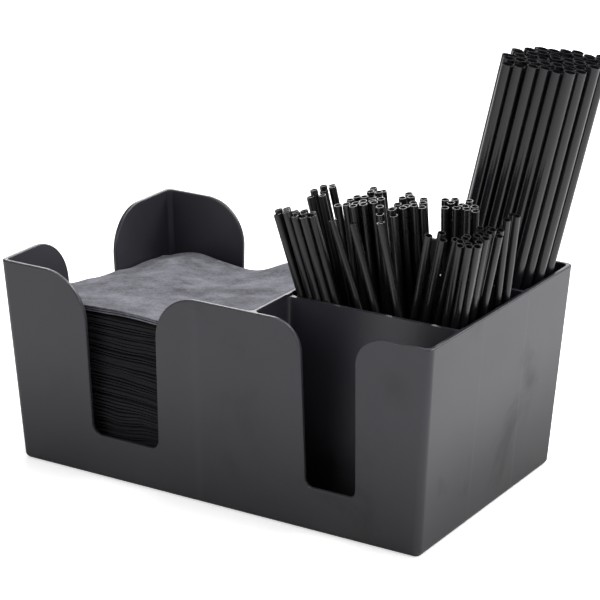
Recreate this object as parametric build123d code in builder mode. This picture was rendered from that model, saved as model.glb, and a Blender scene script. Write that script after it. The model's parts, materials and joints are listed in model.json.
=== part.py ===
from build123d import *
from math import sqrt
from random import Random
import os

os.makedirs("parts", exist_ok=True)

# Bar caddy: a one-piece moulded tray that holds paper napkins, sip stirrers and bar straws.
# Millimetres. The origin is the centre of the underside, +X runs along the front to the right,
# +Y points to the back and +Z up.

# Napkins: the tray is sized around them
napkin_size = 120.0
napkins = 46
napkin_clearance = 0.3
napkin_gap = 0.05
napkin_ragged = 0.6
stack_front_top = 82.0
stack_back_top = 70.0
stack_forward = 1.0
loose_napkins = 3
loose_napkin_thick = 1.2
loose_inset = 1.2
loose_rise = 2.5

# Tray: room inside, at the floor
napkin_room = 5.35
finger_room = 15.35
cell_length = 84.35
coaster_depth = 23.95
stirrer_depth = 61.8

# Tray: walls
height = 105.0
length_flare = 13.6
width_flare = 9.9
wall = 2.3
floor = 2.6
web_top = 2.0
web_root = 2.8
divider_drop = 1.0
corner_radius = 3.6
heel_radius = 3.0
cell_floor_round = 1.0
edge_round = 0.7
divider_round = 0.5

# Cut-outs in the walls
slot_floor = 22.8
slot_draft = 1.0
hand_slot_width = 41.0
hand_slot_ear = 24.0
hand_slot_round = 5.0
hand_slot_x = -49.6
side_slot_y = -1.0
coaster_slot_width = 29.0
coaster_slot_ear = 15.0
coaster_slot_round = 4.0
coaster_slot_x = 66.5

# Straws
stirrer_length = 145.0
stirrer_diameter = 3.8
stirrer_pitch = 4.0
stirrer_sides = 6
bar_straw_length = 210.0
bar_straw_diameter = 5.8
bar_straw_pitch = 5.96
bar_straw_sides = 8
straw_wall = 0.35
straw_clearance = 0.3
straw_gap = 0.1
uneven_tips = 2.5

# Bundles of straws: the columns and rows of straws either side of the middle one, where the
# bundle stands on the floor and where it crosses the rim (0 is the middle of its cell, -1 and 1
# are against the walls), how much wider it is at the rim, and how loosely its straws lie
stirrer_bundles = {
    "stirrers_left": ((2.0, 0.9), (-0.04, -0.73), (-1.0, -1.0), (1.05, 1.05), 0.15),
    "stirrers_front_right": ((1.2, 2.9), (0.43, 0.21), (0.93, -0.73), (1.15, 1.30), 0.30),
    "stirrers_front": ((1.3, 0.9), (0.0, -0.29), (0.67, -0.90), (2.0, 1.20), 0.60),
    "stirrers_loose": ((1.0, 0.0), (0.81, -0.68), (-0.10, -0.80), (2.20, 1.0), 0.60),
    "stirrers_right": ((0.6, 1.2), (0.79, 0.91), (1.0, 0.47), (1.0, 1.80), 0.30),
    "stirrers_back_left": ((0.6, 2.3), (-0.45, 0.78), (-1.0, 0.32), (1.20, 1.20), 0.30),
    "stirrers_mid_left": ((2.0, 2.6), (-0.29, 0.82), (-0.61, 0.10), (1.15, 1.15), 0.35),
    "stirrers_middle": ((1.6, 2.6), (0.14, 0.87), (-0.04, 0.16), (1.20, 1.20), 0.35),
    "stirrers_mid_right": ((2.0, 1.8), (0.56, 1.0), (0.52, 0.52), (1.20, 1.20), 0.35),
}
bar_straw_bundles = {
    "bar_straws": ((3.6, 3.1), (0.10, 0.60), (0.96, 0.95), (1.02, 1.05), 0.04),
}

base_length = 2 * wall + napkin_size + finger_room + web_root + cell_length
base_width = 2 * wall + napkin_size + 2 * napkin_room
partition_x = -base_length / 2 + wall + napkin_size + finger_room + web_root / 2
front_divider_y = -base_width / 2 + wall + coaster_depth + web_root / 2
back_divider_y = front_divider_y + web_root + stirrer_depth


def flared(z, base, flare):
    """A tray size at height z, where the walls lean out by the whole flare at the rim."""
    return base + flare * z / height


def inner_x(z):
    return flared(z, base_length, length_flare) / 2 - wall


def inner_y(z):
    return flared(z, base_width, width_flare) / 2 - wall


def half_web(z):
    return flared(z, web_root, web_top - web_root) / 2


# Each cell of the tray gives its left, right, front and back limits at height z
def napkin_well(z):
    return -inner_x(z), partition_x - half_web(z), -inner_y(z), inner_y(z)


def coaster_cell(z):
    return partition_x + half_web(z), inner_x(z), -inner_y(z), front_divider_y - half_web(z)


def stirrer_cell(z):
    return (
        partition_x + half_web(z),
        inner_x(z),
        front_divider_y + half_web(z),
        back_divider_y - half_web(z),
    )


def bar_straw_cell(z):
    return partition_x + half_web(z), inner_x(z), back_divider_y + half_web(z), inner_y(z)


def pocket(cell):
    """The drafted hollow of a cell, rounded along its floor."""
    with BuildPart() as hollow:
        for z in (floor, height + wall):
            left, right, front, back = cell(z)
            with BuildSketch(Plane.XY.offset(z)):
                with Locations(((left + right) / 2, (front + back) / 2)):
                    RectangleRounded(right - left, back - front, corner_radius - edge_round)
        loft()
        fillet(hollow.faces().sort_by(Axis.Z)[0].edges(), cell_floor_round)
    return hollow.part


def slot(plane, centre, width, ear, bottom_round):
    """A U-shaped cut-out with rounded ears, in a plane whose second axis is +Z."""
    left = centre - width / 2
    right = centre + width / 2
    above = height + ear
    with BuildSketch(plane) as outline:
        with BuildLine():
            CenterArc((left - ear, height - ear), ear, 0, 90)
            Polyline(
                (left - ear, height),
                (left - ear, above),
                (right + ear, above),
                (right + ear, height),
            )
            CenterArc((right + ear, height - ear), ear, 90, 90)
            FilletPolyline(
                (right, height - ear),
                (right - slot_draft, slot_floor),
                (left + slot_draft, slot_floor),
                (left, height - ear),
                radius=bottom_round,
            )
        make_face()
    return outline.sketch


# The tray is a drafted block, hollowed into four cells, with a cut-out in the wall at each grip
with BuildPart() as tray:
    for z in (0, height):
        with BuildSketch(Plane.XY.offset(z)):
            RectangleRounded(
                flared(z, base_length, length_flare),
                flared(z, base_width, width_flare),
                corner_radius,
            )
    loft()
    fillet(tray.faces().sort_by(Axis.Z)[0].edges(), heel_radius)

    for cell in (napkin_well, coaster_cell, stirrer_cell, bar_straw_cell):
        add(pocket(cell), mode=Mode.SUBTRACT)

    cut_depth = 3 * wall + length_flare / 2
    hand_grip = (hand_slot_width, hand_slot_ear, hand_slot_round)
    coaster_grip = (coaster_slot_width, coaster_slot_ear, coaster_slot_round)
    front_wall = Plane.XZ.offset(inner_y(0) - wall)
    back_wall = Plane.XZ.offset(wall - inner_y(0))
    left_wall = Plane.YZ.offset(wall - inner_x(0))
    extrude(slot(front_wall, hand_slot_x, *hand_grip), amount=cut_depth, mode=Mode.SUBTRACT)
    extrude(slot(front_wall, coaster_slot_x, *coaster_grip), amount=cut_depth, mode=Mode.SUBTRACT)
    extrude(slot(back_wall, hand_slot_x, *hand_grip), amount=-cut_depth, mode=Mode.SUBTRACT)
    extrude(slot(left_wall, side_slot_y, *hand_grip), amount=-cut_depth, mode=Mode.SUBTRACT)

    # The rounding runs along the rim and on round each cut-out, but not across the wall
    rim = tray.faces().filter_by(Axis.Z).group_by(Axis.Z)[-1]
    fillet(rim.edges().filter_by(lambda edge: edge.length > 1.2 * wall), edge_round)

    divider_top = height - divider_drop
    divider_left = partition_x + half_web(divider_top)
    divider_length = inner_x(divider_top) - divider_left
    with BuildSketch(Plane.XY.offset(divider_top)):
        for divider_y in (front_divider_y, back_divider_y):
            with Locations((divider_left, divider_y)):
                Rectangle(
                    divider_length,
                    web_root + 2 * corner_radius,
                    align=(Align.MIN, Align.CENTER),
                )
    extrude(amount=wall, mode=Mode.SUBTRACT)


def napkin_left(z):
    """The left edge of a napkin at height z, which follows the drafted wall of the well."""
    return -inner_x(z) + napkin_clearance + max(0, cell_floor_round - (z - floor))


# The napkins lie folded on each other, thicker at the folds in front than at the back
napkin_seat = floor + napkin_clearance
front_step = (stack_front_top - napkin_seat) / napkins
back_step = (stack_back_top - napkin_seat) / napkins
uneven = Random(5)
with BuildPart() as napkin_stack:
    for number in range(napkins):
        front_z = napkin_seat + number * front_step
        back_z = napkin_seat + number * back_step
        left = napkin_left(back_z) + uneven.uniform(0, napkin_ragged)
        front = -napkin_size / 2 - stack_forward + uneven.uniform(0, napkin_ragged)
        back = front + napkin_size
        with BuildSketch(Plane.YZ.offset(left)):
            with BuildLine():
                Polyline(
                    (front, front_z),
                    (back, back_z),
                    (back, back_z + back_step - napkin_gap),
                    (front, front_z + front_step - napkin_gap),
                    close=True,
                )
            make_face()
        extrude(amount=napkin_size)

# The top napkins lie loose, risen in the middle
with BuildPart() as top_napkins:
    left = napkin_left(stack_back_top) + loose_inset
    right = left + napkin_size
    front = -napkin_size / 2 - stack_forward
    for number in range(loose_napkins):
        lift = number * loose_napkin_thick + napkin_gap
        for y, base in (
            (front, stack_front_top + lift),
            (front + napkin_size, stack_back_top + lift),
        ):
            with BuildSketch(Plane.XZ.offset(-y)):
                with BuildLine():
                    under = ThreePointArc(
                        (left, base), ((left + right) / 2, base + loose_rise), (right, base)
                    )
                    offset(
                        under,
                        loose_napkin_thick - napkin_gap,
                        side=Side.LEFT,
                        closed=True,
                    )
                make_face()
        loft()


def honeycomb(columns, rows):
    """Spots in a honeycomb, one step apart, that fill an oval of so many columns and rows."""
    spots = []
    most = int(rows * 2 / sqrt(3))
    for row in range(-most, most + 1):
        for column in range(-int(columns) - 1, int(columns) + 2):
            x = column + row % 2 / 2
            y = row * sqrt(3) / 2
            if (x / (columns + 0.3)) ** 2 + (y / (rows + 0.3)) ** 2 <= 1:
                spots.append((x, y))
    return spots


def lean_to(cell, z, lean, half_size):
    """The middle of a bundle of the given half size, leaning by -1 to 1 in a cell at height z."""
    left, right, front, back = cell(z)
    x = (left + right) / 2 + lean[0] * ((right - left) / 2 - half_size[0])
    y = (front + back) / 2 + lean[1] * ((back - front) / 2 - half_size[1])
    return x, y


def bundle_places(cell, bundle, diameter, pitch):
    """Where a bundle's straws stand on the floor and where they cross the rim, and its pitches."""
    size, foot_lean, rim_lean, spread, _ = bundle
    spots = honeycomb(*size)
    reach = [max(spot[axis] for spot in spots) for axis in (0, 1)]
    seat = floor + straw_clearance
    slants = [1, 1]
    for _ in range(3):
        foot_pitch = [pitch * slant for slant in slants]
        rim_pitch = [pitch * slant * wider for slant, wider in zip(slants, spread)]
        side = [diameter / 2 * slant + straw_clearance for slant in slants]
        foot_half = [r * p + s + cell_floor_round / 4 for r, p, s in zip(reach, foot_pitch, side)]
        rim_half = [r * p + s for r, p, s in zip(reach, rim_pitch, side)]
        foot = lean_to(cell, seat, foot_lean, foot_half)
        rim = lean_to(cell, height, rim_lean, rim_half)
        slants = [sqrt(1 + ((r - f) / (height - seat)) ** 2) for f, r in zip(foot, rim)]
    return spots, foot, rim, foot_pitch, rim_pitch


def gap_between(first, second):
    """The least gap between two straws, each given as foot, direction, length and diameter."""
    foot_a, along_a, length_a, diameter_a = first
    foot_b, along_b, length_b, diameter_b = second
    apart = foot_a - foot_b
    turn = along_a.dot(along_b)
    flat = max(1 - turn**2, 1e-9)
    place_a = (turn * along_b.dot(apart) - along_a.dot(apart)) / flat
    place_a = min(max(place_a, 0), length_a)
    place_b = min(max(along_b.dot(foot_a + along_a * place_a - foot_b), 0), length_b)
    place_a = min(max(along_a.dot(foot_b + along_b * place_b - foot_a), 0), length_a)
    between = (foot_a + along_a * place_a) - (foot_b + along_b * place_b)
    return between.length - (diameter_a + diameter_b) / 2


def stands_free(cell, straw, standing):
    """Whether a straw clears the walls of its cell and every straw that already stands."""
    foot, along, _, diameter = straw
    for z, spare in ((foot.Z, cell_floor_round / 4), (height, 0)):
        left, right, front, back = cell(z)
        place = foot + along * ((z - foot.Z) / along.Z)
        side = diameter / 2 / along.Z + straw_clearance / 2 + spare
        if not (left + side < place.X < right - side and front + side < place.Y < back - side):
            return False
    return all(gap_between(straw, other) >= straw_gap for other in standing)


def straws_of(cell, bundle, length, diameter, pitch, standing):
    """The straws of a bundle, each nudged at the rim until it has room, or else left out."""
    spots, foot, rim, foot_pitch, rim_pitch = bundle_places(cell, bundle, diameter, pitch)
    looseness = bundle[-1] * pitch
    found = []
    for x, y in spots:
        stand = Vector(foot[0] + x * foot_pitch[0], foot[1] + y * foot_pitch[1], floor)
        cross = Vector(rim[0] + x * rim_pitch[0], rim[1] + y * rim_pitch[1], height)
        rise = straw_clearance + uneven.uniform(0, uneven_tips)
        for _ in range(20):
            nudge = Vector(uneven.uniform(-1, 1), uneven.uniform(-1, 1)) * looseness
            along = (cross + nudge - stand).normalized()
            lift = (rise + diameter / 2 * sqrt(1 - along.Z**2)) / along.Z
            straw = (stand + along * lift, along, length, diameter)
            if stands_free(cell, straw, standing + found):
                found.append(straw)
                break
    return found


def model_straws(straws, sides):
    """Open straws, each its own solid."""
    length, diameter = straws[0][2:]
    planes = [Plane(origin=foot, z_dir=along) for foot, along, _, _ in straws]
    with BuildPart() as bundle:
        with BuildSketch(*planes):
            RegularPolygon(diameter / 2, sides)
            RegularPolygon(diameter / 2 - straw_wall, sides, mode=Mode.SUBTRACT)
        extrude(amount=length)
    return bundle.part


tray.part.label = "tray"
napkin_stack.part.label = "napkin_stack"
top_napkins.part.label = "top_napkins"
finished = [tray.part, napkin_stack.part, top_napkins.part]

stirrer = (stirrer_length, stirrer_diameter, stirrer_pitch)
bar_straw = (bar_straw_length, bar_straw_diameter, bar_straw_pitch)
for cell, bundles, kind, sides in (
    (stirrer_cell, stirrer_bundles, stirrer, stirrer_sides),
    (bar_straw_cell, bar_straw_bundles, bar_straw, bar_straw_sides),
):
    standing = []
    for name, bundle in bundles.items():
        straws = straws_of(cell, bundle, *kind, standing)
        standing += straws
        part = model_straws(straws, sides)
        part.label = name
        finished.append(part)

for piece in finished:
    export_step(piece, f"parts/{piece.label}.step")
    print(piece.label, len(piece.solids()), "solids", round(piece.volume / 1000, 2), "cm3")
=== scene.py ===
"""Looks of the bar caddy: black moulded tray, folded tissue napkins, sip stirrers and bar straws.

Everything is in metres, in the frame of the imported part: the origin is the centre of the tray's
underside, +X runs along the front to the right, +Y to the back and +Z up.
"""

import json
import logging
import math
import random
from dataclasses import dataclass
from enum import Enum
from typing import Dict, List, Optional, Sequence, Tuple, Union

import bmesh
import bpy
import numpy as np
from mathutils import Matrix, Vector, noise

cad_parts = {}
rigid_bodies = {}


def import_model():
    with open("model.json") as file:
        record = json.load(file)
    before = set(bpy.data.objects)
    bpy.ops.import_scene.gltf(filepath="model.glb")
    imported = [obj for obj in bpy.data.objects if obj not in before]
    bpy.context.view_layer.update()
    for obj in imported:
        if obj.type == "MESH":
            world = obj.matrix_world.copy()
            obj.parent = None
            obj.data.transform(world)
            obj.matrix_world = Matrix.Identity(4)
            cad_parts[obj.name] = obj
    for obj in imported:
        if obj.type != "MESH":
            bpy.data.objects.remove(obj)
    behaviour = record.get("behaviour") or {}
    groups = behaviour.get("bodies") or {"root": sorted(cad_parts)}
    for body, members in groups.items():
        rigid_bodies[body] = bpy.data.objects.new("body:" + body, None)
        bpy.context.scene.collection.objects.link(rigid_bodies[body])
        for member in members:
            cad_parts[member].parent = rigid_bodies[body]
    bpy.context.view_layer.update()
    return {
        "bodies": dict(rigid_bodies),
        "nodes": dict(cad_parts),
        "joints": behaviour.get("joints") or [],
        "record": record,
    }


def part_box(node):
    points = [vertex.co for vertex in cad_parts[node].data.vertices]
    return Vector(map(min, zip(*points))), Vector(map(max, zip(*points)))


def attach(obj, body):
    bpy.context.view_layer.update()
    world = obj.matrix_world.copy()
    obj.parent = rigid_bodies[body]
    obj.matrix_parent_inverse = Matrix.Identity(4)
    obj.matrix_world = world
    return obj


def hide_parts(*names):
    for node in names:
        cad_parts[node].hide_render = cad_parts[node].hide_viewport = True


log = logging.getLogger("bar_caddy")

Colour = Tuple[float, float, float]
Point = Tuple[float, float, float]
Value = Union[float, bpy.types.NodeSocket]

NOISE_MIDDLE = 0.5


class Body(Enum):
    """The moving bodies of the caddy."""

    NAPKINS = "napkins"
    TOP_NAPKINS = "top_napkins"
    STIRRERS = "stirrers"
    STRAWS = "straws"


class Slot(Enum):
    """The names of the record's material slots for the new pieces."""

    NAPKIN = "napkin_paper"
    STIRRER = "stirrer_plastic"
    STRAW = "straw_plastic"


# ---------------------------------------------------------------- modelling


def deselect() -> None:
    """Leave edit mode and deselect every object."""
    if bpy.context.object and bpy.context.object.mode != "OBJECT":
        bpy.ops.object.mode_set(mode="OBJECT")
    bpy.ops.object.select_all(action="DESELECT")


def name_piece(name: str) -> bpy.types.Object:
    """Name the active object and its mesh.

    Args:
        name: The piece's name.

    Returns:
        The active object.
    """
    piece = bpy.context.object
    piece.name = name
    piece.data.name = name
    return piece


def join(pieces: Sequence[bpy.types.Object], name: str) -> bpy.types.Object:
    """Join several meshes into one piece.

    Args:
        pieces: The objects to join; the first one stays.
        name: The joined piece's name.

    Returns:
        The joined object.
    """
    deselect()
    for piece in pieces:
        piece.select_set(True)
    bpy.context.view_layer.objects.active = pieces[0]
    bpy.ops.object.join()
    return name_piece(name)


def smooth(piece: bpy.types.Object, degrees: float) -> None:
    """Shade a piece smooth, except over edges sharper than an angle.

    Args:
        piece: The object to shade.
        degrees: The sharpest angle that is still smooth.
    """
    deselect()
    piece.select_set(True)
    bpy.context.view_layer.objects.active = piece
    bpy.ops.object.shade_smooth_by_angle(angle=math.radians(degrees))


def thicken(sheet: bpy.types.Object, thickness: float, offset: float) -> None:
    """Give an open mesh its thickness, closed along its rims.

    Args:
        sheet: The mesh, which is the active object.
        thickness: The thickness to give it.
        offset: -1 to grow inwards, or 0 to grow to both sides.
    """
    solidify = sheet.modifiers.new("thickness", "SOLIDIFY")
    solidify.thickness = thickness
    solidify.offset = offset
    bpy.ops.object.modifier_apply(modifier=solidify.name)


def add_grid(
    name: str, columns: int, rows: int, size: float, left: float, front: float
) -> bpy.types.Object:
    """Add a flat square grid at height 0.

    Args:
        name: The grid's name.
        columns: Its faces along X.
        rows: Its faces along Y.
        size: Its side.
        left: Its lowest X.
        front: Its lowest Y.

    Returns:
        The grid, with its place in its mesh.
    """
    deselect()
    bpy.ops.mesh.primitive_grid_add(
        x_subdivisions=columns,
        y_subdivisions=rows,
        size=size,
        location=(left + size / 2, front + size / 2, 0),
    )
    grid = name_piece(name)
    bpy.ops.object.transform_apply(location=True)
    return grid


def coat(piece: bpy.types.Object, finish: bpy.types.Material) -> None:
    """Give a piece its only material.

    Args:
        piece: The object to coat.
        finish: Its material.
    """
    piece.data.materials.clear()
    piece.data.materials.append(finish)


@dataclass(frozen=True)
class Ripple:
    """A smooth noise in three coordinates: how fast it changes along each of them."""

    first: float
    second: float
    third: float = 0.0
    shift: float = 0.0

    def at(self, x: float, y: float, z: float = 0.0) -> float:
        """Read the noise at a place.

        Args:
            x: The first coordinate.
            y: The second.
            z: The third.

        Returns:
            The noise, from about -1 to 1.
        """
        place = (x * self.first, y * self.second, z * self.third + self.shift)
        return noise.noise(Vector(place))


# ---------------------------------------------------------------- shader nodes


def feed(tree: bpy.types.NodeTree, value: Value, socket: bpy.types.NodeSocket) -> None:
    """Link a value to an input, or set it there where it is a plain number.

    Args:
        tree: The node tree.
        value: The number or the output to take it from.
        socket: The input.
    """
    if isinstance(value, bpy.types.NodeSocket):
        tree.links.new(value, socket)
    else:
        socket.default_value = value


def calculate(
    tree: bpy.types.NodeTree, operation: str, *values: Value, clamp: bool = False
) -> bpy.types.NodeSocket:
    """Add a Math node.

    Args:
        tree: The node tree.
        operation: What the node does.
        *values: Its inputs, in order.
        clamp: Whether the result is held between 0 and 1.

    Returns:
        The node's output.
    """
    node = tree.nodes.new("ShaderNodeMath")
    node.operation = operation
    node.use_clamp = clamp
    for value, socket in zip(values, node.inputs):
        feed(tree, value, socket)
    return node.outputs[0]


def ramp(
    tree: bpy.types.NodeTree,
    value: bpy.types.NodeSocket,
    span: Tuple[float, float],
    result: Tuple[float, float] = (0.0, 1.0),
    soft: bool = True,
) -> bpy.types.NodeSocket:
    """Map a value from one span to another, held at the ends.

    Args:
        tree: The node tree.
        value: The value to map.
        span: Where the value starts and ends.
        result: What comes out there.
        soft: Whether the ends are eased.

    Returns:
        The mapped value.
    """
    node = tree.nodes.new("ShaderNodeMapRange")
    node.interpolation_type = "SMOOTHSTEP" if soft else "LINEAR"
    for label, limit in zip(("From Min", "From Max", "To Min", "To Max"), span + result):
        node.inputs[label].default_value = limit
    tree.links.new(value, node.inputs["Value"])
    return node.outputs["Result"]


def noise_pattern(
    tree: bpy.types.NodeTree,
    place: bpy.types.NodeSocket,
    scale: Value,
    detail: float,
    roughness: float = 0.5,
    distortion: float = 0.0,
) -> bpy.types.NodeSocket:
    """Add a noise pattern.

    Args:
        tree: The node tree.
        place: The coordinates that it is read at.
        scale: Its scale.
        detail: Its number of octaves.
        roughness: How much the finer octaves count.
        distortion: How much it is warped.

    Returns:
        The pattern, from 0 to 1.
    """
    node = tree.nodes.new("ShaderNodeTexNoise")
    tree.links.new(place, node.inputs["Vector"])
    feed(tree, scale, node.inputs["Scale"])
    node.inputs["Detail"].default_value = detail
    node.inputs["Roughness"].default_value = roughness
    node.inputs["Distortion"].default_value = distortion
    return node.outputs["Fac"]


def new_group(
    name: str, inputs: Dict[str, float], outputs: Sequence[str]
) -> Tuple[bpy.types.NodeTree, bpy.types.Node, bpy.types.Node]:
    """Make a shader node group whose sockets are all floats.

    Args:
        name: The group's name.
        inputs: Each input and its default.
        outputs: The outputs.

    Returns:
        The group, its input node and its output node.
    """
    kind = "NodeSocketFloat"
    group = bpy.data.node_groups.new(name, "ShaderNodeTree")
    for label, value in inputs.items():
        socket = group.interface.new_socket(label, in_out="INPUT", socket_type=kind)
        socket.default_value = value
    for label in outputs:
        group.interface.new_socket(label, in_out="OUTPUT", socket_type=kind)
    return group, group.nodes.new("NodeGroupInput"), group.nodes.new("NodeGroupOutput")


def use_group(
    tree: bpy.types.NodeTree, group: bpy.types.NodeTree, values: Dict[str, float]
) -> bpy.types.Node:
    """Place a node group in a material.

    Args:
        tree: The material's node tree.
        group: The node group.
        values: The inputs that this material sets.

    Returns:
        The group node.
    """
    node = tree.nodes.new("ShaderNodeGroup")
    node.node_tree = group
    for label, value in values.items():
        node.inputs[label].default_value = value
    return node


def new_material(
    name: str, values: Dict[str, float]
) -> Tuple[bpy.types.Material, bpy.types.Node]:
    """Make a material and set the constant values of its shader.

    Args:
        name: The material's name.
        values: The shader's inputs to set.

    Returns:
        The material and its Principled shader.
    """
    material = bpy.data.materials.new(name)
    material.use_nodes = True
    shader = material.node_tree.nodes["Principled BSDF"]
    for label, value in values.items():
        shader.inputs[label].default_value = value
    return material, shader


def tint_shader(
    tree: bpy.types.NodeTree,
    shader: bpy.types.Node,
    colour: Colour,
    tone: bpy.types.NodeSocket,
) -> None:
    """Give a shader a colour that a pattern makes lighter and darker.

    Args:
        tree: The material's node tree.
        shader: The shader.
        colour: The colour at a tone of 1.
        tone: The factor that scales it.
    """
    tint = tree.nodes.new("ShaderNodeVectorMath")
    tint.operation = "SCALE"
    tint.inputs[0].default_value = colour
    tree.links.new(tone, tint.inputs["Scale"])
    tree.links.new(tint.outputs[0], shader.inputs["Base Color"])


def emboss_shader(
    tree: bpy.types.NodeTree,
    shader: bpy.types.Node,
    height: bpy.types.NodeSocket,
    depth: float,
    strength: float,
) -> None:
    """Give a shader a fine relief.

    Args:
        tree: The material's node tree.
        shader: The shader.
        height: The relief, from 0 to 1.
        depth: Its depth in metres.
        strength: How much of it shows.
    """
    bump = tree.nodes.new("ShaderNodeBump")
    bump.inputs["Strength"].default_value = strength
    bump.inputs["Distance"].default_value = depth
    tree.links.new(height, bump.inputs["Height"])
    tree.links.new(bump.outputs["Normal"], shader.inputs["Normal"])


# ---------------------------------------------------------------- shader groups


def moulded_grain_group() -> bpy.types.NodeTree:
    """Build the fine skin of moulded plastic: a shallow grain, faint flow marks and dull patches.

    Returns:
        A group that puts out a Roughness, a Tone factor and a Height.
    """
    patch_scale = 22.0
    flow_stretch = (60.0, 60.0, 1.5)
    group, source, sink = new_group(
        "moulded_grain",
        {"Grain Scale": 1800.0, "Base Roughness": 0.4, "Roughness Spread": 0.1, "Flow": 0.1},
        ("Roughness", "Tone", "Height"),
    )
    place = group.nodes.new("ShaderNodeTexCoord").outputs["Object"]
    grain = noise_pattern(group, place, source.outputs["Grain Scale"], detail=4.0, roughness=0.6)
    patches = noise_pattern(group, place, patch_scale, detail=3.0)
    dullness = calculate(group, "SUBTRACT", patches, NOISE_MIDDLE)
    spread = calculate(group, "MULTIPLY", dullness, source.outputs["Roughness Spread"])
    roughness = calculate(group, "ADD", source.outputs["Base Roughness"], spread, clamp=True)
    stretch = group.nodes.new("ShaderNodeMapping")
    stretch.inputs["Scale"].default_value = flow_stretch
    group.links.new(place, stretch.inputs["Vector"])
    flow = noise_pattern(group, stretch.outputs["Vector"], scale=1.0, detail=2.0)
    streaks = calculate(group, "SUBTRACT", flow, NOISE_MIDDLE)
    tone = calculate(group, "MULTIPLY_ADD", streaks, source.outputs["Flow"], 1.0)
    for label, value in (("Roughness", roughness), ("Tone", tone), ("Height", grain)):
        group.links.new(value, sink.inputs[label])
    return group


@dataclass(frozen=True)
class SinkLine:
    """A faint painted highlight line on an outer wall, standing for the light caught by a shallow
    sink over the divider or partition that meets it inside.

    The line stands at `centre` on the `across` axis. It fades in over `wall_span` on the
    `wall_axis`, so that it shows only on the outer wall past that span.
    """

    across: str
    centre: float
    width: float
    wall_axis: str
    wall_span: Tuple[float, float]

    def mask(
        self, tree: bpy.types.NodeTree, place: bpy.types.Node
    ) -> bpy.types.NodeSocket:
        """Build the line's mask.

        Args:
            tree: The node tree.
            place: The node that splits the Object coordinates.

        Returns:
            1 in the middle of the line, and 0 beside it and off its wall.
        """
        shift = calculate(tree, "SUBTRACT", place.outputs[self.across], self.centre)
        away = calculate(tree, "ABSOLUTE", shift)
        mark = ramp(tree, away, (0.0, self.width), (1.0, 0.0))
        wall = ramp(tree, place.outputs[self.wall_axis], self.wall_span, soft=False)
        return calculate(tree, "MULTIPLY", mark, wall)


# Where the painted highlights of the sink lines lie.
SINK_LINES: Tuple[SinkLine, ...] = (
    SinkLine("Y", 0.0246, 0.0012, "X", (0.1112, 0.1122)),
    SinkLine("Y", -0.0205, 0.0009, "X", (0.1112, 0.1122)),
    SinkLine("X", -0.0065, 0.0035, "Y", (-0.0655, -0.0665)),
)


def marks_and_painted_light_group() -> bpy.types.NodeTree:
    """Build the smudges of a used moulding, painted highlights along its sink lines and painted
    shade that darkens the walls towards the bottom.

    Returns:
        A group that puts out a Tone factor and a Dullness to add to the roughness.
    """
    smear_scale = 17.0
    smudge_span = (0.56, 0.74)
    # Height over which the painted shade darkens the walls towards the bottom.
    foot_height = 0.075
    gloss_share = -0.35
    group, source, sink = new_group(
        "marks_and_painted_light", {"Line": 0.12, "Smudge": 0.25, "Fade": 0.6}, ("Tone", "Dullness")
    )
    place = group.nodes.new("ShaderNodeTexCoord").outputs["Object"]
    split = group.nodes.new("ShaderNodeSeparateXYZ")
    group.links.new(place, split.inputs[0])
    lines = SINK_LINES[0].mask(group, split)
    for sink_line in SINK_LINES[1:]:
        lines = calculate(group, "ADD", lines, sink_line.mask(group, split))
    smear = noise_pattern(group, place, smear_scale, detail=4.0, roughness=0.65, distortion=0.4)
    smudges = ramp(group, smear, smudge_span)
    # Painted shade: the walls are darkened towards the bottom, where less light reaches them.
    foot_shade = ramp(group, split.outputs["Z"], (0.0, foot_height), (1.0, 0.0))
    # Painted highlight: the sink lines are made lighter, for the light that their shallow dents
    # catch.
    lighter = calculate(group, "MULTIPLY", lines, source.outputs["Line"])
    smudged = calculate(group, "MULTIPLY", smudges, source.outputs["Smudge"])
    darker = calculate(group, "MULTIPLY", foot_shade, source.outputs["Fade"])
    change = calculate(group, "SUBTRACT", lighter, smudged)
    change = calculate(group, "SUBTRACT", change, darker)
    tone = calculate(group, "ADD", change, 1.0)
    dullness = calculate(group, "MULTIPLY", change, gloss_share)
    group.links.new(tone, sink.inputs["Tone"])
    group.links.new(dullness, sink.inputs["Dullness"])
    return group


def tissue_group() -> bpy.types.NodeTree:
    """Build the surface of tissue: mottled fibres and small creases, with painted shade in the
    hollows of the creases and painted light on their crests.

    Returns:
        A group that puts out a Tone factor and a Height.
    """
    fibre_share = 0.35
    crease_scale = 60.0
    group, source, sink = new_group(
        "tissue", {"Fibre Scale": 900.0, "Mottle": 0.3}, ("Tone", "Height")
    )
    place = group.nodes.new("ShaderNodeTexCoord").outputs["Object"]
    fibre = noise_pattern(group, place, source.outputs["Fibre Scale"], detail=6.0, roughness=0.75)
    crease = noise_pattern(group, place, crease_scale, detail=8.0, roughness=0.75)
    creases = calculate(group, "MULTIPLY", crease, 1.0 - fibre_share)
    height = calculate(group, "MULTIPLY_ADD", fibre, fibre_share, creases)
    # Painted shade and light: the tone follows the relief, so the hollows of the creases are
    # darker and their crests lighter, besides the mottle of the fibres.
    fibres_and_crease_shade = calculate(group, "SUBTRACT", height, NOISE_MIDDLE)
    tone = calculate(group, "MULTIPLY_ADD", fibres_and_crease_shade, source.outputs["Mottle"], 1.0)
    group.links.new(tone, sink.inputs["Tone"])
    group.links.new(height, sink.inputs["Height"])
    return group


# ---------------------------------------------------------------- finishes


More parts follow.
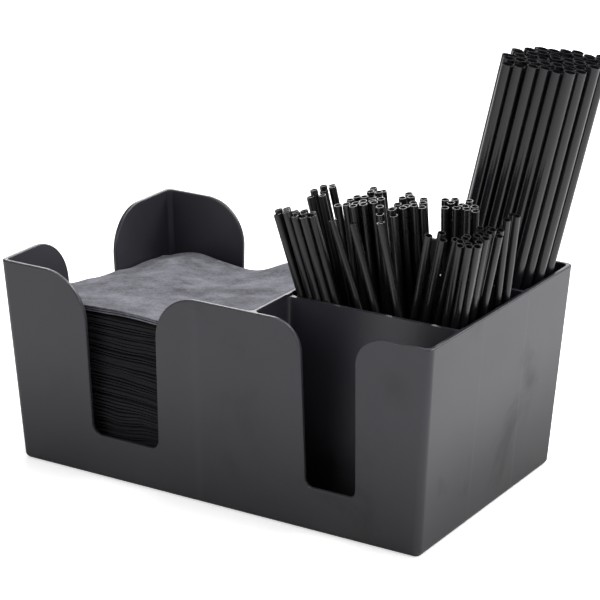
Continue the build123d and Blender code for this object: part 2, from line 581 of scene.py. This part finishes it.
@dataclass(frozen=True)
class MouldedPlastic:
    """Black moulded plastic with a fine grain.

    `flow` is how much its streaks change the colour, and `roughness_spread` how much its dull
    patches change the gloss.
    """

    name: str
    colour: Colour
    roughness: float
    roughness_spread: float = 0.1
    flow: float = 0.1
    grain_scale: float = 1800.0
    grain_depth: float = 0.00001
    specular: float = 0.5

    def make(
        self, grain: bpy.types.NodeTree, marks: Optional[bpy.types.NodeTree] = None
    ) -> bpy.types.Material:
        """Build the material.

        Args:
            grain: The moulded_grain node group.
            marks: The node group of smudges, painted sink highlights and painted shade low on the
                walls, for a piece that shows them.

        Returns:
            The finished material.
        """
        material, shader = new_material(self.name, {"Specular IOR Level": self.specular})
        tree = material.node_tree
        skin = use_group(
            tree,
            grain,
            {
                "Grain Scale": self.grain_scale,
                "Base Roughness": self.roughness,
                "Roughness Spread": self.roughness_spread,
                "Flow": self.flow,
            },
        )
        tone, roughness = skin.outputs["Tone"], skin.outputs["Roughness"]
        if marks:
            # Smudges of wear, with the painted highlights of the sink lines and the painted shade
            # low on the walls.
            smudges_and_painted_light = use_group(tree, marks, {})
            tone = calculate(tree, "MULTIPLY", tone, smudges_and_painted_light.outputs["Tone"])
            roughness = calculate(tree, "ADD", roughness, smudges_and_painted_light.outputs["Dullness"], clamp=True)
        tint_shader(tree, shader, self.colour, tone)
        tree.links.new(roughness, shader.inputs["Roughness"])
        emboss_shader(tree, shader, skin.outputs["Height"], self.grain_depth, strength=1.0)
        return material


@dataclass(frozen=True)
class Tissue:
    """Soft dyed tissue paper.

    `mottle` is how much its fibres, and the painted shade and light that follow its creases,
    change the colour, `depth` the height of its fibres and creases, and `relief` how much of that
    shows.
    """

    name: str
    colour: Colour
    mottle: float
    depth: float = 0.00025
    relief: float = 0.8
    fibre_scale: float = 900.0
    roughness: float = 0.95
    specular: float = 0.15
    sheen: float = 0.03
    sheen_roughness: float = 0.6

    def make(self, fibres: bpy.types.NodeTree) -> bpy.types.Material:
        """Build the material.

        Args:
            fibres: The tissue node group.

        Returns:
            The finished material.
        """
        material, shader = new_material(
            self.name,
            {
                "Roughness": self.roughness,
                "Specular IOR Level": self.specular,
                "Sheen Weight": self.sheen,
                "Sheen Roughness": self.sheen_roughness,
            },
        )
        tree = material.node_tree
        cloth = use_group(tree, fibres, {"Fibre Scale": self.fibre_scale, "Mottle": self.mottle})
        tint_shader(tree, shader, self.colour, cloth.outputs["Tone"])
        emboss_shader(tree, shader, cloth.outputs["Height"], self.depth, self.relief)
        return material


# ---------------------------------------------------------------- pieces


@dataclass
class Tray:
    """The one-piece moulded tray, kept from the frame and given its satin black skin."""

    node: str = "tray"
    finish: MouldedPlastic = MouldedPlastic(
        "satin_black_moulding",
        (0.020, 0.0195, 0.026),
        roughness=0.38,
        roughness_spread=0.08,
        flow=0.25,
        grain_depth=0.00002,
    )

    def dress(self, frame: dict, grain: bpy.types.NodeTree) -> None:
        """Give the tray its material.

        Args:
            frame: The loaded frame.
            grain: The moulded_grain node group.
        """
        coat(frame["nodes"][self.node], self.finish.make(grain, marks_and_painted_light_group()))
        log.info("tray dressed")


@dataclass(frozen=True)
class StrawKind:
    """One kind of straw: its tube, its finish, the body that it belongs to and the name of its
    material slot.
    """

    body: Body
    slot: Slot
    radius: float
    sides: int
    finish: MouldedPlastic
    wall: float = 0.00035
    crease_angle: float = 40.0


SIP_STIRRER = StrawKind(
    Body.STIRRERS,
    Slot.STIRRER,
    radius=0.0019,
    sides=16,
    finish=MouldedPlastic("glossy_black_stirrer", (0.008, 0.008, 0.009), roughness=0.28),
)
BAR_STRAW = StrawKind(
    Body.STRAWS,
    Slot.STRAW,
    radius=0.0029,
    sides=24,
    finish=MouldedPlastic("glossy_black_straw", (0.009, 0.009, 0.011), roughness=0.22),
)


@dataclass
class StrawBundle:
    """A handful of thin open tubes that stand where the frame's straws stand."""

    node: str
    kind: StrawKind
    merge_distance: float = 1e-6

    def axes(self, frame: dict) -> List[Tuple[Vector, Vector]]:
        """Find the two ends of each straw in the bundle.

        Args:
            frame: The loaded frame.

        Returns:
            The lower and upper end of each straw.
        """
        copy = bmesh.new()
        copy.from_mesh(frame["nodes"][self.node].data)
        bmesh.ops.remove_doubles(copy, verts=copy.verts, dist=self.merge_distance)
        seen = set()
        ends = []
        for start in copy.verts:
            if start.index in seen:
                continue
            seen.add(start.index)
            patch = [start]
            for vert in patch:
                for edge in vert.link_edges:
                    other = edge.other_vert(vert)
                    if other.index not in seen:
                        seen.add(other.index)
                        patch.append(other)
            cloud = np.array([v.co[:] for v in patch])
            middle = cloud.mean(axis=0)
            along = np.linalg.svd(cloud - middle)[2][0]
            along = along if along[2] > 0 else -along
            reach = (cloud - middle) @ along
            low = Vector(middle + along * reach.min())
            high = Vector(middle + along * reach.max())
            ends.append((low, high))
        copy.free()
        return ends

    def model_straw(self, length: float) -> bpy.types.Object:
        """Model one open tube, standing at the origin.

        Args:
            length: The straw's length.

        Returns:
            The tube.
        """
        deselect()
        bpy.ops.mesh.primitive_circle_add(
            vertices=self.kind.sides, radius=self.kind.radius, fill_type="NOTHING"
        )
        tube = name_piece("one_straw")
        bpy.ops.object.mode_set(mode="EDIT")
        bpy.ops.mesh.select_all(action="SELECT")
        bpy.ops.mesh.extrude_region_move(TRANSFORM_OT_translate={"value": (0, 0, length)})
        bpy.ops.mesh.select_all(action="SELECT")
        bpy.ops.mesh.normals_make_consistent(inside=False)
        bpy.ops.object.mode_set(mode="OBJECT")
        thicken(tube, self.kind.wall, offset=-1.0)
        return tube

    def build(self, frame: dict, finish: bpy.types.Material) -> bpy.types.Object:
        """Copy the modelled straw onto every axis and join the copies.

        Args:
            frame: The loaded frame.
            finish: The straws' material.

        Returns:
            The bundle.
        """
        ends = self.axes(frame)
        pattern = self.model_straw((ends[0][1] - ends[0][0]).length)
        copies = []
        for low, high in ends:
            straw = bpy.data.objects.new("straw", pattern.data.copy())
            bpy.context.collection.objects.link(straw)
            turn = Vector((0, 0, 1)).rotation_difference(high - low).to_matrix().to_4x4()
            straw.data.transform(Matrix.Translation(low) @ turn)
            copies.append(straw)
        bpy.data.objects.remove(pattern)
        bundle = join(copies, f"{self.node}_tubes")
        smooth(bundle, self.kind.crease_angle)
        coat(bundle, finish)
        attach(bundle, self.kind.body.value)
        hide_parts(self.node)
        log.info("%s: %d straws", self.node, len(ends))
        return bundle


@dataclass
class NapkinStack:
    """The napkins in the well: many thin folded napkins with soft, slightly wavy fronts.

    The drafted wall pushes the lowest napkin in by `draft`. A napkin lies up to `shuffle` out of
    line sideways and up to `ragged` backwards. The pile swells and sags by `swell`, less near its
    foot and its top, and each napkin fills one of the shares in `plies` of its layer.
    """

    node: str = "napkin_stack"
    piece: str = "napkin_stack_folds"
    layers: int = 46
    columns: int = 72
    rows: int = 16
    size: float = 0.1194
    front_top: float = 0.0820
    back_top: float = 0.0700
    draft: float = 0.0045
    shuffle: float = 0.0006
    ragged: float = 0.0016
    swell: float = 0.0030
    small_swell: float = 0.25
    bottom_ease: float = 5.0
    top_ease: float = 4.0
    wrinkle: float = 0.00014
    front_edge: float = 0.01
    front_wave: float = 0.0007
    limp: float = 0.00016
    phases: float = 10.0
    plies: Tuple[float, ...] = (0.35, 0.6, 0.85)
    seed: int = 7
    crease_angle: float = 50.0
    broad: Ripple = Ripple(34, 16, 2.6)
    small: Ripple = Ripple(85, 40, 7.0, shift=5)
    fine: Ripple = Ripple(150, 1, 30)
    wander: Ripple = Ripple(45, 3, shift=3.1)
    # Painted shade: the same black tissue as the loose napkins, made much darker here for the
    # shade between the stacked sheets.
    finish: Tissue = Tissue("black_tissue_edges_painted_shade", (0.012, 0.012, 0.015), mottle=2.0)

    def sag(self, x: float, y: float, share: float) -> float:
        """Give how far the napkins have swollen or sagged at a place.

        Args:
            x: The place along the front.
            y: The place from front to back.
            share: The height in the stack, from 0 to 1.

        Returns:
            The rise in metres.
        """
        broad = self.broad.at(x, y, share)
        small = self.small.at(x, y, share)
        ease = min(1.0, share * self.bottom_ease) * min(1.0, (1 - share) * self.top_ease)
        return (self.swell * broad + self.small_swell * self.swell * small) * ease

    def model_napkin(
        self, layer: int, low: Vector, rng: random.Random
    ) -> bpy.types.Object:
        """Model one napkin as a thin slab whose front edge wanders.

        Args:
            layer: Its place in the stack, 0 at the bottom.
            low: The lowest corner of the frame's stack.
            rng: The seeded source of what differs from napkin to napkin.

        Returns:
            The napkin.
        """
        share = (layer + 0.5) / self.layers
        front_z = low.z + (self.front_top - low.z) * share
        back_z = low.z + (self.back_top - low.z) * share
        left = low.x + self.draft * (1 - share) + rng.uniform(0, self.shuffle)
        front = low.y + rng.uniform(0.0, self.ragged)
        slab = add_grid("one_napkin", self.columns, self.rows, self.size, left, front)
        phase = rng.uniform(0, self.phases)
        droop = rng.uniform(-self.limp, self.limp)
        for vert in slab.data.vertices:
            along = (vert.co.y - front) / self.size
            flat = front_z + (back_z - front_z) * along
            fine = self.fine.at(vert.co.x, phase, vert.co.y)
            vert.co.z = flat + self.sag(vert.co.x, vert.co.y, share) + self.wrinkle * fine
            if along < self.front_edge:
                vert.co.y += self.front_wave * self.wander.at(vert.co.x, phase)
                vert.co.z += droop
        pitch = (self.front_top - low.z) / self.layers
        thicken(slab, pitch * rng.choice(self.plies), offset=0.0)
        return slab

    def build(self, fibres: bpy.types.NodeTree) -> bpy.types.Object:
        """Model every napkin and join them.

        Args:
            fibres: The tissue node group.

        Returns:
            The stack.
        """
        low = Vector(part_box(self.node)[0])
        rng = random.Random(self.seed)
        slabs = [self.model_napkin(layer, low, rng) for layer in range(self.layers)]
        stack = join(slabs, self.piece)
        smooth(stack, self.crease_angle)
        coat(stack, self.finish.make(fibres))
        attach(stack, Body.NAPKINS.value)
        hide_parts(self.node)
        log.info("napkin stack: %d napkins", self.layers)
        return stack


def curve(values: Sequence[float], place: float) -> float:
    """Read a Catmull-Rom curve, which runs smoothly through evenly spaced values.

    Args:
        values: The values.
        place: Where to read it, counted in values from the first one.

    Returns:
        The value there.
    """
    index = min(int(place), len(values) - 2)
    share = place - index
    before, after = values[max(index - 1, 0)], values[min(index + 2, len(values) - 1)]
    first, second = values[index], values[index + 1]
    return 0.5 * (
        2 * first
        + (second - before) * share
        + (2 * before - 5 * first + 4 * second - after) * share**2
        + (3 * first - before - 3 * second + after) * share**3
    )


@dataclass
class TopNapkins:
    """The loose napkins on top, crumpled into soft waves.

    The heights are those of the waves: a row from left to right for the front edge, then one for
    each quarter of the way back. The uppermost napkin lies `lowered` under them, and each other
    one `pitch` under the next.
    """

    node: str = "top_napkins"
    layers: int = 3
    steps: int = 120
    size: float = 0.120
    thick: float = 0.0006
    pitch: float = 0.0011
    lowered: float = 0.0011
    swell: float = 0.0010
    wrinkle: float = 0.00018
    front_wave: float = 0.0005
    crease_angle: float = 50.0
    broad: Ripple = Ripple(30, 62, shift=4.0)
    fine: Ripple = Ripple(110, 110, 0.3)
    wander: Ripple = Ripple(30, 2.7, shift=1.0)
    heights: Tuple[Tuple[float, ...], ...] = (
        (0.0840, 0.0857, 0.0867, 0.0878, 0.0873, 0.0866, 0.0862),
        (0.0812, 0.0836, 0.0850, 0.0849, 0.0848, 0.0843, 0.0842),
        (0.0775, 0.0812, 0.0838, 0.0832, 0.0830, 0.0836, 0.0838),
        (0.0742, 0.0788, 0.0804, 0.0790, 0.0806, 0.0832, 0.0836),
        (0.0728, 0.0777, 0.0758, 0.0750, 0.0822, 0.0846, 0.0842),
    )
    # Painted light: the same black tissue as the stack, made much lighter here for the light that
    # falls on the top.
    finish: Tissue = Tissue("black_tissue_top_painted_light", (0.130, 0.130, 0.150), mottle=5.0, depth=0.0016)

    def height(self, across: float, back: float) -> float:
        """Give the height of the waves, smoothly between the listed heights.

        Args:
            across: 0 at the left edge, 1 at the right.
            back: 0 at the front edge, 1 at the back.

        Returns:
            The height in metres.
        """
        rows, columns = len(self.heights), len(self.heights[0])
        lines = [curve(row, across * (columns - 1)) for row in self.heights]
        return curve(lines, back * (rows - 1))

    def model_napkin(self, layer: int, low: Vector) -> bpy.types.Object:
        """Model one loose napkin as a waved sheet.

        Args:
            layer: Its place, 0 for the lowest.
            low: The lowest corner of the frame's loose napkins.

        Returns:
            The napkin.
        """
        name = f"loose_napkin_{layer + 1}"
        napkin = add_grid(name, self.steps, self.steps, self.size, low.x, low.y)
        under = (self.layers - 1 - layer) * self.pitch
        for vert in napkin.data.vertices:
            across = (vert.co.x - low.x) / self.size
            back = (vert.co.y - low.y) / self.size
            fine = self.fine.at(vert.co.x, vert.co.y, layer)
            broad = self.broad.at(vert.co.x, vert.co.y)
            vert.co.z = self.height(across, back) - under - self.lowered
            vert.co.z += self.swell * broad + self.wrinkle * fine
            vert.co.y += self.front_wave * self.wander.at(vert.co.x, layer) * (1 - back)
        thicken(napkin, self.thick, offset=0.0)
        smooth(napkin, self.crease_angle)
        return napkin

    def build(self, fibres: bpy.types.NodeTree, pile: bpy.types.Object) -> List[bpy.types.Object]:
        """Lay each loose napkin on the one below it.

        Args:
            fibres: The tissue node group.
            pile: The piece that the lowest one lies on; not used.

        Returns:
            The loose napkins, the lowest first.
        """
        low = Vector(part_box(self.node)[0])
        finish = self.finish.make(fibres)
        napkins = []
        for layer in range(self.layers):
            napkin = self.model_napkin(layer, low)
            coat(napkin, finish)
            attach(napkin, Body.TOP_NAPKINS.value)
            napkins.append(napkin)
        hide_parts(self.node)
        log.info("loose napkins: %d", self.layers)
        return napkins


# ---------------------------------------------------------------- studio


@dataclass(frozen=True)
class Lamp:
    """A soft square lamp that faces the middle of the caddy."""

    name: str
    place: Point
    aim_height: float
    size: float
    watts: float

    def hang(self) -> None:
        """Add the lamp to the scene."""
        data = bpy.data.lights.new(self.name, "AREA")
        data.shape = "SQUARE"
        data.size = self.size
        data.energy = self.watts
        lamp = bpy.data.objects.new(self.name, data)
        bpy.context.collection.objects.link(lamp)
        aim = Vector((0, 0, self.aim_height))
        facing = (aim - Vector(self.place)).to_track_quat("-Z", "Y").to_matrix().to_4x4()
        lamp.matrix_world = Matrix.Translation(self.place) @ facing


@dataclass
class Studio:
    """A pale floor, soft lamps and a camera at the photographed angle.

    Angles are in degrees, and the lens and sensor in millimetres. The camera sees the floor as
    `floor_white` with a glow of `lift`, while the light sees it as `bounce`. `sky` is the
    strength of the world's own light.
    """

    azimuth: float = 31.484
    elevation: float = 19.261
    distance: float = 1.22035
    target: Point = (0.00781, 0.0, 0.08645)
    roll: float = 0.290
    lens: float = 149.412
    sensor: float = 36.0
    clip: Tuple[float, float] = (0.01, 50.0)
    floor_size: float = 12.0
    floor_white: float = 0.97
    bounce: float = 0.85
    lift: float = 0.45
    sky: float = 0.3
    lamps: Tuple[Lamp, ...] = (
        Lamp("key_lamp", (0.60, 1.0, 1.30), 0.05, size=0.9, watts=30),
        Lamp("top_lamp", (0.0, 0.1, 1.5), 0.08, size=0.5, watts=7),
        Lamp("fill_lamp", (-0.4, -1.7, 0.9), 0.05, size=1.2, watts=13),
        Lamp("side_lamp", (1.6, -0.1, 0.8), 0.06, size=0.8, watts=13),
        Lamp("back_lamp", (-0.8, 1.2, 0.7), 0.08, size=0.7, watts=9),
    )

    def camera(self) -> None:
        """Place the camera."""
        az, el = math.radians(self.azimuth), math.radians(self.elevation)
        back = Vector((math.sin(az) * math.cos(el), -math.cos(az) * math.cos(el), math.sin(el)))
        right = Vector((math.cos(az), math.sin(az), 0))
        up = back.cross(right)
        turn = math.radians(self.roll)
        tilted_right = right * math.cos(turn) + up * math.sin(turn)
        tilted_up = up * math.cos(turn) - right * math.sin(turn)
        data = bpy.data.cameras.new("photo_camera")
        data.lens = self.lens
        data.sensor_width = self.sensor
        data.clip_start, data.clip_end = self.clip
        camera = bpy.data.objects.new("photo_camera", data)
        bpy.context.collection.objects.link(camera)
        facing = Matrix((tilted_right, tilted_up, back)).transposed().to_4x4()
        place = Vector(self.target) + back * self.distance
        camera.matrix_world = Matrix.Translation(place) @ facing
        bpy.context.scene.camera = camera

    def floor(self) -> None:
        """Lay a white floor that keeps the caddy's shadow."""
        deselect()
        bpy.ops.mesh.primitive_plane_add(size=self.floor_size, location=(0, 0, 0))
        floor = name_piece("floor")
        material, shader = new_material(
            "white_floor", {"Roughness": 0.9, "Specular IOR Level": 0.1}
        )
        shader.inputs["Emission Color"].default_value = (1, 1, 1, 1)
        tree = material.node_tree
        seen = tree.nodes.new("ShaderNodeLightPath").outputs["Is Camera Ray"]
        shade = ramp(tree, seen, (0.0, 1.0), (self.bounce, self.floor_white), soft=False)
        glow = calculate(tree, "MULTIPLY", seen, self.lift)
        tree.links.new(shade, shader.inputs["Base Color"])
        tree.links.new(glow, shader.inputs["Emission Strength"])
        coat(floor, material)

    def world(self) -> None:
        """Set the even light of the studio, seen as white by the camera."""
        world = bpy.data.worlds.new("studio_white")
        bpy.context.scene.world = world
        world.use_nodes = True
        tree = world.node_tree
        light = tree.nodes["Background"]
        white = tree.nodes.new("ShaderNodeBackground")
        for background, strength in ((light, self.sky), (white, 1.0)):
            background.inputs["Color"].default_value = (1, 1, 1, 1)
            background.inputs["Strength"].default_value = strength
        seen = tree.nodes.new("ShaderNodeLightPath").outputs["Is Camera Ray"]
        mix = tree.nodes.new("ShaderNodeMixShader")
        tree.links.new(seen, mix.inputs["Fac"])
        tree.links.new(light.outputs[0], mix.inputs[1])
        tree.links.new(white.outputs[0], mix.inputs[2])
        tree.links.new(mix.outputs[0], tree.nodes["World Output"].inputs["Surface"])

    def build(self) -> None:
        """Set up the floor, the world, the lamps and the camera."""
        self.floor()
        self.world()
        for lamp in self.lamps:
            lamp.hang()
        self.camera()
        bpy.context.scene.view_settings.view_transform = "Standard"
        log.info("studio set")


# ---------------------------------------------------------------- the caddy


def main() -> None:
    """Build the caddy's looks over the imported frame."""
    logging.basicConfig(level=logging.INFO, format="%(message)s")
    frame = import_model()
    grain = moulded_grain_group()
    fibres = tissue_group()

    Tray().dress(frame, grain)
    stirrer_finish = SIP_STIRRER.finish.make(grain)
    straw_finish = BAR_STRAW.finish.make(grain)
    for node in sorted(frame["nodes"]):
        if node.startswith("stirrers"):
            StrawBundle(node, SIP_STIRRER).build(frame, stirrer_finish)
    StrawBundle("bar_straws", BAR_STRAW).build(frame, straw_finish)
    pile = NapkinStack().build(fibres)
    TopNapkins().build(fibres, pile)
    Studio().build()


if __name__ == "__main__":
    main()
